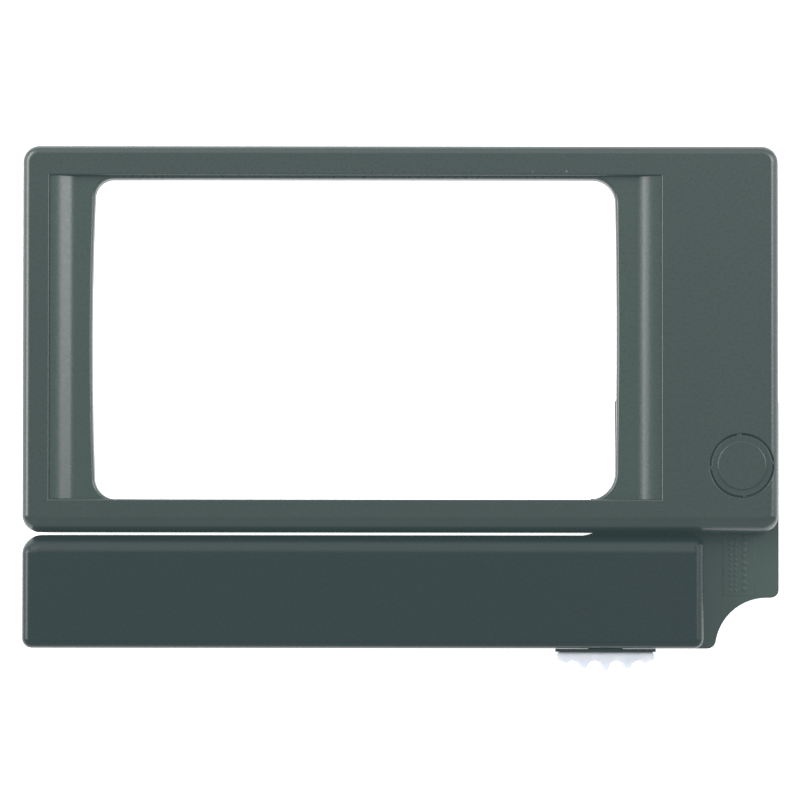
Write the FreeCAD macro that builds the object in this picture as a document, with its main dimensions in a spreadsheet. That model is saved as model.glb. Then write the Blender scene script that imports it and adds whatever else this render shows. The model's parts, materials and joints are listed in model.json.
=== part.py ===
import FreeCAD, Part
import os
import Sketcher
from FreeCAD import Placement, Rotation, Vector

# Hand-held swing-out negative carrier for 120 roll film, glassless, in millimetres.
# A film frame swings on a pivot beside a bar handle.  The handle's thin base plate reaches
# under the frame and carries the pivot.  A thumb slide in the handle pushes a bolt out of
# the handle's end, which locks the frame once it is swung out in line with the handle.
#
# Part frame: +X along the handle towards the pivot, +Y from the handle towards the frame,
# +Z up out of the frame's face.  The origin is under the middle of the folded carrier, on
# the surface it lies on.

doc = FreeCAD.newDocument("negative_carrier")

# ---------------------------------------------------------------- driving dimensions

DIMENSIONS = {
    # frame, outside
    "frame_length": 132.4,
    "frame_width": 67.75,
    "frame_thickness": 7.3,
    "frame_corner": 2.9,
    "edge_round": 1.4,
    "rim_round": 0.3,
    "wall": 1.6,
    "face_thickness": 1.4,
    "fit_play": 0.1,
    # frame, recess in its face
    "rim_left": 4.7,
    "panel_right": 20.5,
    "rail_upper": 5.2,
    "rail_lower": 5.75,
    # film gate
    "recess_depth": 1.4,
    "gate_wall": 0.8,
    "gate_flange": 1.2,
    "gate_flange_thickness": 2.4,
    "shoulder_radius": 7.3,
    "shoulder_depth": 1.05,
    "shoulder_toe_round": 4.2,
    "window_margin_left": 7.45,
    "window_margin_right": 7.75,
    "window_strip": 0.6,
    "window_bow_left": 0.6,
    "window_bow_right": 0.3,
    "window_upper_left": 3.2,
    "window_upper_right": 4.0,
    "window_lower_left": 3.8,
    "window_lower_right": 4.9,
    "window_edge_round": 0.55,
    # back plate and film channel
    "back_thickness": 1.2,
    "back_window_relief": 0.4,
    "film_width": 61.5,
    "film_play": 0.5,
    "channel_depth": 0.4,
    "channel_end_inset": 1.0,
    "leaf_length": 68,
    "leaf_flat": 22,
    "leaf_width": 1.2,
    "leaf_thickness": 0.15,
    "leaf_bow": 0.5,
    "leaf_groove_depth": 0.5,
    "leaf_play": 0.1,
    "contact_gap": 0.02,
    # handle and its base plate
    "plate_thickness": 2.6,
    "plate_overhang": 0.4,
    "plate_peek": 0.16,
    "plate_above_pivot": 12.5,
    "plate_inner_round": 6.5,
    "plate_corner": 1.4,
    "notch_radius": 9.1,
    "notch_inset": 2.1,
    "notch_drop": 0.15,
    "notch_tip_round": 1.5,
    "handle_width": 19.8,
    "handle_wall": 1.8,
    "handle_corner": 1.7,
    "handle_inner_corner": 3.3,
    "lift_gap": 0.3,
    "swing_gap": 0.5,
    "end_clearance": 0.3,
    # pivot
    "pivot_inset": 6.4,
    "post_radius": 2.6,
    "post_flange_radius": 4.8,
    "post_flange_thickness": 0.8,
    "running_play": 0.05,
    "bush_radius": 3.8,
    "bush_height": 4.4,
    "bush_housing": 4.7,
    "washer_radius": 6.0,
    "spring_washer_thickness": 0.3,
    "pivot_head_radius": 4.0,
    "pivot_head_height": 1.0,
    "pivot_head_room": 0.6,
    "pivot_thread_radius": 1.25,
    "pivot_thread_length": 4.5,
    "cap_bore_radius": 5.65,
    "cap_radius": 5.32,
    "cap_button_radius": 4.2,
    "cap_thickness": 1.2,
    "cap_button_rise": 0.3,
    "cap_sink": 0.1,
    "cap_rib_width": 0.65,
    "cap_play": 0.03,
    "cap_rib_angle": 5,
    "pivot_boss_radius": 6.3,
    "pivot_boss_gap": 0.2,
    # thumb slide and bolt
    "pad_inset": 17.1,
    "pad_length": 17,
    "pad_height": 4.4,
    "pad_reach": 3.8,
    "pad_envelope_radius": 20,
    "scallop_pitch": 3.87,
    "scallop_radius": 1.4,
    "scallop_line": 2.15,
    "pad_tenon_length": 4,
    "pad_tenon_height": 1.6,
    "pad_tenon_depth": 1.4,
    "lip_length": 17.5,
    "lip_height": 5.8,
    "lip_thickness": 0.55,
    "slide_play": 0.05,
    "slide_travel": 5,
    "neck_length": 6,
    "neck_height": 3,
    "neck_root": 0.5,
    "carrier_length": 14,
    "carrier_height": 5,
    "carrier_floor_gap": 0.4,
    "carrier_side": 0.9,
    "bolt_width": 4,
    "bolt_height": 3,
    "bolt_length": 22,
    "bolt_setback": 0.5,
    "bolt_bevel": 0.7,
    "bolt_centre": 5.9,
    "bolt_pin_radius": 0.8,
    "slide_leaf_room": 0.9,
    "slide_leaf_height": 3,
    "slide_leaf_thickness": 0.2,
    "slide_leaf_flat": 3,
    "slide_leaf_inset": 1,
    "spring_rib": 1,
    "guide_length": 3,
    "guide_width": 9,
    "guide_roof": 1,
    "strike_length": 3,
    "strike_width": 10,
    "strike_play": 0.15,
    "strike_rib": 1.2,
    "strike_rib_play": 0.05,
    # screws and feet
    "screw_radius": 0.9,
    "screw_head_radius": 1.8,
    "screw_head_height": 0.7,
    "screw_length": 5,
    "screw_slot_width": 0.45,
    "screw_slot_depth": 0.4,
    "boss_radius": 2.3,
    "boss_inset": 4.6,
    "hole_spare": 0.2,
    "pivot_screw_drop": 10,
    "handle_screw_inset": 8,
    "handle_screw_pitch": 37,
    "handle_screw_end": 7.5,
    "handle_screw_side": 3.8,
    "foot_radius": 2.3,
    "foot_inset": 3.2,
    # generic raised mark field on the base plate
    "field_width": 5.6,
    "field_length": 13,
    "field_rise": 0.1,
    "field_inset": 4.2,
    "field_end_inset": 0.35,
    "pip_rise": 0.1,
    "bold_pip_inset": 1.9,
    "bold_pip_radius": 0.42,
    "bold_pip_pitch": 1.15,
    "fine_pip_inset": 3.4,
    "fine_pip_step": 0.9,
    "fine_pip_radius": 0.25,
    "fine_pip_pitch": 0.9,
}

dims = doc.addObject("Spreadsheet::Sheet", "dims")
for row, (alias, value) in enumerate(DIMENSIONS.items(), start=1):
    cell = "B%d" % row
    dims.set("A%d" % row, alias)
    dims.set(cell, str(value))
    dims.setAlias(cell, alias)
doc.recompute()

# ---------------------------------------------------------------- places worked out from them

PLACES = {
    "frame_left": "-(dims.frame_length + dims.plate_overhang) / 2",
    "frame_right": "(dims.frame_length - dims.plate_overhang) / 2",
    "frame_upper": "(dims.frame_width + dims.swing_gap + dims.handle_width + dims.pad_reach) / 2",
    "frame_lower": "places.frame_upper - dims.frame_width",
    "handle_upper": "places.frame_lower - dims.swing_gap",
    "handle_lower": "places.handle_upper - dims.handle_width",
    "handle_middle": "(places.handle_upper + places.handle_lower) / 2",
    "frame_middle": "(places.frame_upper + places.frame_lower) / 2",
    # the frame's middle line meets the handle's middle line after half a turn
    "pivot_x": "places.frame_right - dims.pivot_inset",
    "pivot_y": "(places.frame_middle + places.handle_middle) / 2",
    "handle_end": "places.pivot_x - dims.pivot_inset - dims.end_clearance",
    # recess and window
    "recess_left": "places.frame_left + dims.rim_left",
    "recess_right": "places.frame_right - dims.panel_right",
    "recess_upper": "places.frame_upper - dims.rail_upper",
    "recess_lower": "places.frame_lower + dims.rail_lower",
    "recess_middle": "(places.recess_upper + places.recess_lower) / 2",
    "window_left": "places.recess_left + dims.window_margin_left",
    "window_right": "places.recess_right - dims.window_margin_right",
    "window_upper": "places.recess_upper - dims.window_strip",
    "window_lower": "places.recess_lower",
    "window_middle": "(places.window_upper + places.window_lower) / 2",
    # film channel
    "channel_half": "(dims.film_width + dims.film_play) / 2",
    "channel_upper": "places.recess_middle + places.channel_half",
    "channel_lower": "places.recess_middle - places.channel_half",
    "channel_end": "places.recess_right - dims.channel_end_inset",
    # base plate
    "plate_left": "places.window_right - dims.plate_peek",
    "plate_right": "places.frame_right + dims.plate_overhang",
    "plate_upper": "places.pivot_y + dims.plate_above_pivot",
    "notch_x": "places.plate_right - dims.notch_inset",
    "notch_y": "places.handle_lower - dims.notch_drop",
    "plate_lower": "places.notch_y + dims.notch_radius",
    # heights
    "frame_floor": "dims.plate_thickness + dims.lift_gap",
    "back_top": "places.frame_floor + dims.back_thickness",
    "frame_top": "places.frame_floor + dims.frame_thickness",
    "gate_top": "places.frame_top - dims.recess_depth",
    "face_under": "places.frame_top - dims.face_thickness",
    "bush_top": "places.frame_floor + dims.bush_height",
    "post_top": "places.bush_top + dims.spring_washer_thickness",
    "pivot_head_top": "places.post_top + dims.pivot_head_height",
    "cap_ledge": "places.frame_top - dims.cap_thickness",
    # thumb slide
    "pad_x": "places.handle_end - dims.pad_inset",
    "lip_outer": "places.handle_lower - dims.slide_play - dims.lip_thickness",
    "carrier_upper": "places.handle_middle + dims.bolt_width / 2 + dims.carrier_side",
    "carrier_lower": "places.handle_lower + dims.handle_wall + dims.fit_play",
    "carrier_floor": "dims.plate_thickness + dims.carrier_floor_gap",
    "bolt_tip": "places.handle_end - dims.bolt_setback",
}

places = doc.addObject("App::VarSet", "places")
for name, formula in PLACES.items():
    places.addProperty("App::PropertyFloat", name)
    places.setExpression(name, formula)
    doc.recompute()


def number(formula):
    """The present value of a formula in the sheet's and the places' names."""
    return float(places.evalExpression(formula))


# ---------------------------------------------------------------- building blocks

EVERY_NODE = []


def body_named(label):
    """A new PartDesign body whose label names its file."""
    body = doc.addObject("PartDesign::Body", label)
    body.Label = label
    EVERY_NODE.append(body)
    return body


def origin_plane(body, role):
    """One of the body's own origin planes."""
    return next(item for item in body.Origin.OriginFeatures if item.Role == role)


def flat_sketch(body, name, height="0"):
    """A sketch on the body's XY plane, raised to the given height."""
    sketch = body.newObject("Sketcher::SketchObject", name)
    sketch.AttachmentSupport = [(origin_plane(body, "XY_Plane"), "")]
    sketch.MapMode = "FlatFace"
    sketch.setExpression("AttachmentOffset.Base.z", height)
    return sketch


def upright_sketch(body, name, place="0"):
    """A sketch on the body's XZ plane, moved to the given Y."""
    sketch = body.newObject("Sketcher::SketchObject", name)
    sketch.AttachmentSupport = [(origin_plane(body, "XZ_Plane"), "")]
    sketch.MapMode = "FlatFace"
    sketch.setExpression("AttachmentOffset.Base.z", "-(%s)" % place)
    return sketch


def pin_point(sketch, geometry, point, across, along):
    """Hold one point of the sketch at two formulas from the sketch's origin."""
    for kind, formula in (("DistanceX", across), ("DistanceY", along)):
        index = sketch.addConstraint(
            Sketcher.Constraint(kind, -1, 1, geometry, point, number(formula)))
        sketch.setExpression("Constraints[%d]" % index, formula)


def add_outline(sketch, corners):
    """A closed outline of straight sides through (across, along) formulas."""
    spots = [Vector(number(across), number(along), 0) for across, along in corners]
    first = sketch.GeometryCount
    count = len(spots)
    for index, spot in enumerate(spots):
        sketch.addGeometry(Part.LineSegment(spot, spots[(index + 1) % count]))
    for index, (across, along) in enumerate(corners):
        pin_point(sketch, first + index, 1, across, along)
        follower = first + (index + 1) % count
        sketch.addConstraint(Sketcher.Constraint("Coincident", first + index, 2, follower, 1))


def add_rectangle(sketch, left, lower, right, upper):
    add_outline(sketch, [(left, lower), (right, lower), (right, upper), (left, upper)])


def add_circle(sketch, across, along, radius):
    circle = Part.Circle(Vector(number(across), number(along), 0), Vector(0, 0, 1), number(radius))
    index = sketch.addGeometry(circle)
    pin_point(sketch, index, 3, across, along)
    size = sketch.addConstraint(Sketcher.Constraint("Radius", index, number(radius)))
    sketch.setExpression("Constraints[%d]" % size, radius)
    return index


def add_arc(sketch, centre, radius, start, end):
    """An arc drawn anticlockwise from start to end, all (across, along) formulas."""
    middle = Vector(number(centre[0]), number(centre[1]), 0)
    circle = Part.Circle(middle, Vector(0, 0, 1), number(radius))
    angles = [circle.parameter(Vector(number(spot[0]), number(spot[1]), 0)) for spot in (start, end)]
    index = sketch.addGeometry(Part.ArcOfCircle(circle, *angles))
    pin_point(sketch, index, 3, *centre)
    size = sketch.addConstraint(Sketcher.Constraint("Radius", index, number(radius)))
    sketch.setExpression("Constraints[%d]" % size, radius)
    return index


def join(sketch, first, first_end, second, second_end):
    sketch.addConstraint(Sketcher.Constraint("Coincident", first, first_end, second, second_end))


def add_line(sketch, start, end):
    spots = [Vector(number(spot[0]), number(spot[1]), 0) for spot in (start, end)]
    return sketch.addGeometry(Part.LineSegment(*spots))


def extrude(body, kind, name, sketch, length, backwards=False, middle=False):
    """A Pad or a Pocket of the sketch; a Pocket must take something away."""
    before = body.Shape.Volume if kind == "Pocket" else 0
    feature = body.newObject("PartDesign::" + kind, name)
    feature.Profile = sketch
    feature.setExpression("Length", length)
    feature.Reversed = backwards
    feature.Midplane = middle
    doc.recompute()
    if kind == "Pocket" and not feature.Shape.Volume < before - 1e-6:
        raise RuntimeError("%s takes nothing away" % name)
    return feature


def block(body, name, left, lower, floor, length, width, height, cut=False):
    """A box added to the body, or cut from it."""
    kind = "PartDesign::SubtractiveBox" if cut else "PartDesign::AdditiveBox"
    feature = body.newObject(kind, name)
    feature.AttachmentSupport = [(origin_plane(body, "XY_Plane"), "")]
    feature.MapMode = "FlatFace"
    for target, formula in (("AttachmentOffset.Base.x", left), ("AttachmentOffset.Base.y", lower),
                            ("AttachmentOffset.Base.z", floor), ("Length", length),
                            ("Width", width), ("Height", height)):
        feature.setExpression(target, formula)
    doc.recompute()
    return feature


def drum(body, name, across, along, floor, radius, height, cut=False):
    """An upright cylinder added to the body, or cut from it."""
    kind = "PartDesign::SubtractiveCylinder" if cut else "PartDesign::AdditiveCylinder"
    feature = body.newObject(kind, name)
    feature.AttachmentSupport = [(origin_plane(body, "XY_Plane"), "")]
    feature.MapMode = "FlatFace"
    for target, formula in (("AttachmentOffset.Base.x", across), ("AttachmentOffset.Base.y", along),
                            ("AttachmentOffset.Base.z", floor), ("Radius", radius),
                            ("Height", height)):
        feature.setExpression(target, formula)
    doc.recompute()
    return feature


def dress_edges(body, kind, name, wanted, size_name, size):
    """A Fillet or Chamfer on the edges of the body's tip that the test accepts."""
    tip = body.Tip
    edges = ["Edge%d" % (index + 1) for index, edge in enumerate(tip.Shape.Edges) if wanted(edge)]
    if not edges:
        raise RuntimeError("%s finds no edge" % name)
    feature = body.newObject("PartDesign::" + kind, name)
    feature.Base = (tip, edges)
    feature.setExpression(size_name, size)
    doc.recompute()
    return feature


def round_edges(body, name, wanted, radius):
    return dress_edges(body, "Fillet", name, wanted, "Radius", radius)


def bevel_edges(body, name, wanted, size):
    return dress_edges(body, "Chamfer", name, wanted, "Size", size)


NEAR = 1e-4


def upright_at(*corners):
    """A test for upright edges that stand on one of the given (x, y) formulas."""
    spots = [(number(across), number(along)) for across, along in corners]

    def wanted(edge):
        ends = [vertex.Point for vertex in edge.Vertexes]
        if len(ends) != 2 or abs(ends[0].z - ends[1].z) < NEAR:
            return False
        flat = Vector(ends[0].x - ends[1].x, ends[0].y - ends[1].y, 0).Length
        if flat > NEAR:
            return False
        return any(abs(ends[0].x - x) < NEAR and abs(ends[0].y - y) < NEAR for x, y in spots)

    return wanted


def outer_at_height(height, body, reach):
    """A test for edges at a height, no further than the reach inside the body's outline."""
    level = number(height)
    box = body.Tip.Shape.BoundBox
    inset = number(reach) + NEAR

    def wanted(edge):
        bounds = edge.BoundBox
        if abs(bounds.ZMin - level) > NEAR or abs(bounds.ZMax - level) > NEAR:
            return False
        near_x = bounds.XMax < box.XMin + inset or bounds.XMin > box.XMax - inset
        near_y = bounds.YMax < box.YMin + inset or bounds.YMin > box.YMax - inset
        return near_x or near_y

    return wanted


def level_inside(height, left, lower, right, upper):
    """A test for the edges at one height that lie inside a rectangle or on its sides."""
    level = number(height)
    low = Vector(number(left) - NEAR, number(lower) - NEAR, level - NEAR)
    high = Vector(number(right) + NEAR, number(upper) + NEAR, level + NEAR)
    region = FreeCAD.BoundBox(low, high)
    return lambda edge: region.isInside(edge.BoundBox)


def rounded_block(body, name, left, lower, floor, right, upper, height, radii):
    """A padded rectangle; the radii are for its left lower, left upper and right corners."""
    sketch = flat_sketch(body, name + "_outline", floor)
    add_rectangle(sketch, left, lower, right, upper)
    extrude(body, "Pad", name, sketch, height)
    corners = [(across, along) for across in (left, right) for along in (lower, upper)]
    for index, (corner, radius) in enumerate(zip(corners, radii)):
        round_edges(body, "%s_corner_%d" % (name, index), upright_at(corner), radius)


PIVOT = ("places.pivot_x", "places.pivot_y")

# Screw, foot and leaf places, as formulas.
FRAME_SCREWS = [
    ("places.recess_right + dims.boss_inset", "places.frame_upper - dims.boss_inset"),
    ("places.frame_right - dims.boss_inset", "places.frame_upper - dims.boss_inset"),
    ("places.recess_right + dims.boss_inset", "places.frame_lower + dims.boss_inset"),
    ("places.frame_right - dims.boss_inset", "places.frame_middle - dims.pivot_screw_drop"),
]
HANDLE_SCREWS = [
    ("places.frame_left + dims.handle_screw_inset + %d * dims.handle_screw_pitch" % step,
     "places.handle_middle")
    for step in range(3)
]
HANDLE_SCREWS.append(("places.handle_end - dims.handle_screw_end",
                      "places.handle_upper - dims.handle_screw_side"))
FRAME_FEET = [
    ("places.frame_left + dims.foot_inset", "places.frame_upper - 2 * dims.foot_inset"),
    ("places.frame_left + dims.foot_inset", "places.frame_lower + 2 * dims.foot_inset"),
]
LEAF_PLACES = [
    ("film_spring_upper", "(places.channel_upper + places.recess_upper) / 2"),
    ("film_spring_lower", "(places.channel_lower + places.recess_lower) / 2"),
]

# Corner radii of the two shells: left lower, left upper, right lower, right upper.
FRAME_CORNERS = ["dims.frame_corner"] * 4
HANDLE_CORNERS = ["dims.handle_corner", "dims.handle_inner_corner",
                  "dims.handle_corner", "dims.handle_corner"]

# Window corner radii, in the order in which its outline passes them.
WINDOW_CORNERS = ["dims.window_lower_right", "dims.window_upper_right",
                  "dims.window_upper_left", "dims.window_lower_left"]

SCALLOPS = 4

# Columns of the generic mark: distance from the field's right edge, radius, pitch and count.
PIP_COLUMNS = [
    ("dims.bold_pip_inset", "dims.bold_pip_radius", "dims.bold_pip_pitch", 9),
    ("dims.fine_pip_inset", "dims.fine_pip_radius", "dims.fine_pip_pitch", 11),
    ("dims.fine_pip_inset + dims.fine_pip_step", "dims.fine_pip_radius", "dims.fine_pip_pitch", 11),
]

# ---------------------------------------------------------------- frame: shell


def make_frame_cover():
    """The moulded upper shell: face, four walls, screw bosses and the pivot's cap bore."""
    body = body_named("frame_cover")
    rounded_block(body, "shell", "places.frame_left", "places.frame_lower", "places.back_top",
                  "places.frame_right", "places.frame_upper", "places.frame_top - places.back_top",
                  FRAME_CORNERS)
    round_edges(body, "face_edge", outer_at_height("places.frame_top", body, "dims.frame_corner"),
                "dims.edge_round")
    cavity = flat_sketch(body, "cavity_outline", "places.back_top")
    add_rectangle(cavity, "places.frame_left + dims.wall", "places.frame_lower + dims.wall",
                  "places.frame_right - dims.wall", "places.frame_upper - dims.wall")
    extrude(body, "Pocket", "cavity", cavity, "places.face_under - places.back_top", backwards=True)
    opening = flat_sketch(body, "opening_outline", "places.frame_top")
    add_rectangle(opening, "places.recess_left", "places.recess_lower",
                  "places.recess_right", "places.recess_upper")
    extrude(body, "Pocket", "opening", opening, "2 * dims.face_thickness")
    round_edges(body, "opening_edge",
                level_inside("places.frame_top", "places.recess_left", "places.recess_lower",
                             "places.recess_right", "places.recess_upper"),
                "dims.rim_round")
    room = "places.face_under - places.back_top"
    for index, (across, along) in enumerate(FRAME_SCREWS):
        drum(body, "screw_boss_%d" % index, across, along, "places.back_top", "dims.boss_radius", room)
        drum(body, "screw_hole_%d" % index, across, along, "places.back_top", "dims.screw_radius",
             "places.frame_floor + dims.screw_length + dims.hole_spare - places.back_top", cut=True)
    drum(body, "pivot_boss", *PIVOT, "places.bush_top + dims.pivot_boss_gap",
         "dims.pivot_boss_radius", "places.face_under - places.bush_top - dims.pivot_boss_gap")
    drum(body, "head_room", *PIVOT, "places.bush_top",
         "dims.pivot_head_radius + dims.pivot_head_room", "places.cap_ledge - places.bush_top",
         cut=True)
    drum(body, "cap_bore", *PIVOT, "places.cap_ledge", "dims.cap_bore_radius",
         "2 * dims.cap_thickness", cut=True)
    inner_wall = "places.frame_right - dims.wall"
    rib_foot = "dims.strike_width / 2 + dims.strike_rib_play"
    for name, along in (("strike_rib_upper", "places.frame_middle + " + rib_foot),
                        ("strike_rib_lower",
                         "places.frame_middle - (%s) - dims.strike_rib" % rib_foot)):
        block(body, name, inner_wall + " - dims.strike_length", along, "places.back_top",
              "dims.strike_length + dims.fit_play", "dims.strike_rib", room)
    block(body, "bolt_window", inner_wall + " - dims.fit_play",
          "places.frame_middle - dims.bolt_width / 2 - dims.strike_play",
          "dims.bolt_centre - dims.bolt_height / 2 - dims.strike_play",
          "dims.wall + 2 * dims.fit_play",
          "dims.bolt_width + 2 * dims.strike_play", "dims.bolt_height + 2 * dims.strike_play", cut=True)


def add_window_outline(sketch, relief):
    """The window: straight long sides and two ends that bow out, all wider by the relief."""
    upper = "places.window_upper + (%s)" % relief
    lower = "places.window_lower - (%s)" % relief
    half = "((%s) - (%s)) / 2" % (upper, lower)
    arcs = []
    for side, bow, sign in (("window_right", "window_bow_right", 1),
                            ("window_left", "window_bow_left", -1)):
        bow = "dims." + bow
        radius = "((%s)^2 + %s^2) / (2 * %s)" % (half, bow, bow)
        extreme = "places.%s + (%d) * (%s)" % (side, sign, relief)
        centre = ("%s - (%d) * (%s)" % (extreme, sign, radius), "places.window_middle")
        end = "%s - (%d) * %s" % (extreme, sign, bow)
        corners = [(end, lower), (end, upper)]
        if sign < 0:
            corners.reverse()
        arcs.append((add_arc(sketch, centre, radius, *corners), corners))
    for (arc, corners), (follower, next_corners) in (arcs, arcs[::-1]):
        line = add_line(sketch, corners[1], next_corners[0])
        join(sketch, arc, 2, line, 1)
        join(sketch, line, 2, follower, 1)
        sketch.addConstraint(Sketcher.Constraint("Horizontal", line))
        index = sketch.addConstraint(
            Sketcher.Constraint("DistanceY", -1, 1, line, 1, number(corners[1][1])))
        sketch.setExpression("Constraints[%d]" % index, corners[1][1])
    return [corner for arc, corners in arcs for corner in corners]


def round_window(body, corners):
    for index, (corner, radius) in enumerate(zip(corners, WINDOW_CORNERS)):
        round_edges(body, "window_corner_%d" % index, upright_at(corner), radius)


def make_film_gate():
    """The block under the opening: its top holds the window and rises at both ends."""
    body = body_named("film_gate")
    flange = flat_sketch(body, "flange_outline", "places.back_top")
    add_rectangle(flange, "places.frame_left + dims.wall + dims.fit_play",
                  "places.frame_lower + dims.wall + dims.fit_play",
                  "places.recess_right + dims.gate_wall + dims.gate_flange",
                  "places.frame_upper - dims.wall - dims.fit_play")
    extrude(body, "Pad", "flange", flange, "dims.gate_flange_thickness")
    block(body, "tray", "places.recess_left - dims.gate_wall", "places.recess_lower - dims.gate_wall",
          "places.back_top", "places.recess_right - places.recess_left + 2 * dims.gate_wall",
          "places.recess_upper - places.recess_lower + 2 * dims.gate_wall",
          "places.gate_top - places.back_top")
    window = flat_sketch(body, "window_outline", "places.gate_top")
    corners = add_window_outline(window, "0")
    extrude(body, "Pocket", "window", window, "2 * (places.gate_top - places.back_top)")
    round_window(body, corners)
    round_edges(body, "window_edge",
                level_inside("places.gate_top", "places.window_left", "places.recess_lower",
                             "places.window_right", "places.recess_upper"),
                "dims.window_edge_round")
    floor = "places.gate_top"
    toe_reach = "sqrt(dims.shoulder_radius^2 - (dims.shoulder_radius - dims.shoulder_depth)^2)"
    for name, foot, sign in (("shoulder_left", "places.recess_left", 1),
                             ("shoulder_right", "places.recess_right", -1)):
        profile = upright_sketch(body, name + "_profile", "places.recess_middle")
        crown = (foot, floor + " + dims.shoulder_depth")
        toe = ("%s + (%d) * %s" % (foot, sign, toe_reach), floor)
        centre = (foot, floor + " + dims.shoulder_depth - dims.shoulder_radius")
        ends = (toe, crown) if sign > 0 else (crown, toe)
        arc = add_arc(profile, centre, "dims.shoulder_radius", *ends)
        base = add_line(profile, (foot, floor), toe)
        back = add_line(profile, crown, (foot, floor))
        pin_point(profile, base, 1, foot, floor)
        join(profile, back, 2, base, 1)
        join(profile, base, 2, arc, 1 if sign > 0 else 2)
        join(profile, back, 1, arc, 2 if sign > 0 else 1)
        profile.addConstraint(Sketcher.Constraint("Horizontal", base))
        extrude(body, "Pad", name, profile, "places.recess_upper - places.recess_lower", middle=True)
        round_edges(body, name + "_toe",
                    level_inside(floor, toe[0], "places.recess_lower", toe[0],
                                 "places.recess_upper"), "dims.shoulder_toe_round")
    for name, middle in LEAF_PLACES:
        block(body, name + "_groove",
              "(places.window_left + places.window_right - dims.leaf_length) / 2 - dims.leaf_play",
              middle + " - dims.leaf_width / 2 - dims.leaf_play", "places.back_top",
              "dims.leaf_length + 2 * dims.leaf_play", "dims.leaf_width + 2 * dims.leaf_play",
              "dims.leaf_groove_depth", cut=True)


def make_film_springs():
    """Two flat leaves that press the film's edges onto the back plate."""
    for label, middle in LEAF_PLACES:
        body = body_named(label)
        profile = upright_sketch(body, label + "_profile", middle)
        centre = "(places.window_left + places.window_right) / 2"
        high = "places.back_top + dims.leaf_groove_depth - dims.contact_gap"
        low = high + " - dims.leaf_bow"
        spots = [("- dims.leaf_length / 2", high), ("- dims.leaf_flat / 2", low),
                 ("+ dims.leaf_flat / 2", low), ("+ dims.leaf_length / 2", high)]
        upper = [(centre + shift, level) for shift, level in spots]
        lower = [(across, level + " - dims.leaf_thickness") for across, level in upper]
        add_outline(profile, lower + upper[::-1])
        extrude(body, "Pad", label + "_strip", profile, "dims.leaf_width", middle=True)


def make_frame_back():
    """The lower plate: film channel, window, the pivot's bush housing and screw holes."""
    body = body_named("frame_back")
    rounded_block(body, "plate", "places.frame_left", "places.frame_lower", "places.frame_floor",
                  "places.frame_right", "places.frame_upper", "dims.back_thickness",
                  FRAME_CORNERS)
    channel = flat_sketch(body, "channel_outline", "places.back_top")
    add_rectangle(channel, "places.frame_left - dims.fit_play", "places.channel_lower",
                  "places.channel_end", "places.channel_upper")
    extrude(body, "Pocket", "film_channel", channel, "dims.channel_depth")
    window = flat_sketch(body, "window_outline", "places.back_top")
    corners = add_window_outline(window, "dims.back_window_relief")
    extrude(body, "Pocket", "window", window, "2 * dims.back_thickness")
    round_window(body, corners)
    drum(body, "bush_housing", *PIVOT, "places.frame_floor", "dims.bush_housing", "dims.bush_height")
    drum(body, "bush_bore", *PIVOT, "places.frame_floor", "dims.bush_radius", "dims.bush_height",
         cut=True)
    add_screw_holes(body, FRAME_SCREWS, "places.frame_floor", "dims.back_thickness")


def add_screw_holes(body, screws, floor, thickness):
    """Clearance holes with head recesses, sunk from below."""
    for index, (across, along) in enumerate(screws):
        drum(body, "through_%d" % index, across, along, floor, "dims.screw_radius", thickness,
             cut=True)
        drum(body, "head_recess_%d" % index, across, along, floor, "dims.screw_head_radius",
             "dims.screw_head_height", cut=True)


# ---------------------------------------------------------------- fasteners and feet


def set_places(item, formulas):
    for target, formula in formulas.items():
        item.setExpression(target, formula)


def upright_cylinder(name, across, along, floor, radius, height):
    cylinder = doc.addObject("Part::Cylinder", name)
    set_places(cylinder, {"Radius": radius, "Height": height, "Placement.Base.x": across,
                          "Placement.Base.y": along, "Placement.Base.z": floor})
    return cylinder


def group(label, items):
    """One node that holds several separate solids."""
    compound = doc.addObject("Part::Compound", label)
    compound.Links = items
    compound.Label = label
    EVERY_NODE.append(compound)


def make_screws(label, screws, floor):
    """Identical slotted screws driven in from below, heads flush with the surface."""
    items = []
    for index, (across, along) in enumerate(screws):
        name = "%s_%d" % (label, index)
        head = upright_cylinder(name + "_head", across, along, floor, "dims.screw_head_radius",
                                "dims.screw_head_height")
        shank = upright_cylinder(name + "_shank", across, along, floor, "dims.screw_radius",
                                 "dims.screw_length")
        slot = doc.addObject("Part::Box", name + "_slot")
        set_places(slot, {"Length": "2 * dims.screw_head_radius", "Width": "dims.screw_slot_width",
                          "Height": "dims.screw_slot_depth",
                          "Placement.Base.x": across + " - dims.screw_head_radius",
                          "Placement.Base.y": along + " - dims.screw_slot_width / 2",
                          "Placement.Base.z": floor})
        solid = doc.addObject("Part::Fuse", name + "_solid")
        solid.Base, solid.Tool = head, shank
        screw = doc.addObject("Part::Cut", name)
        screw.Base, screw.Tool = solid, slot
        items.append(screw)
    group(label, items)


def make_frame_feet():
    """Two stick-on feet that bring the frame's far end down to the table."""
    group("frame_feet", [
        upright_cylinder("foot_%d" % index, across, along, "0", "dims.foot_radius",
                         "places.frame_floor")
        for index, (across, along) in enumerate(FRAME_FEET)])


# ---------------------------------------------------------------- handle


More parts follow.
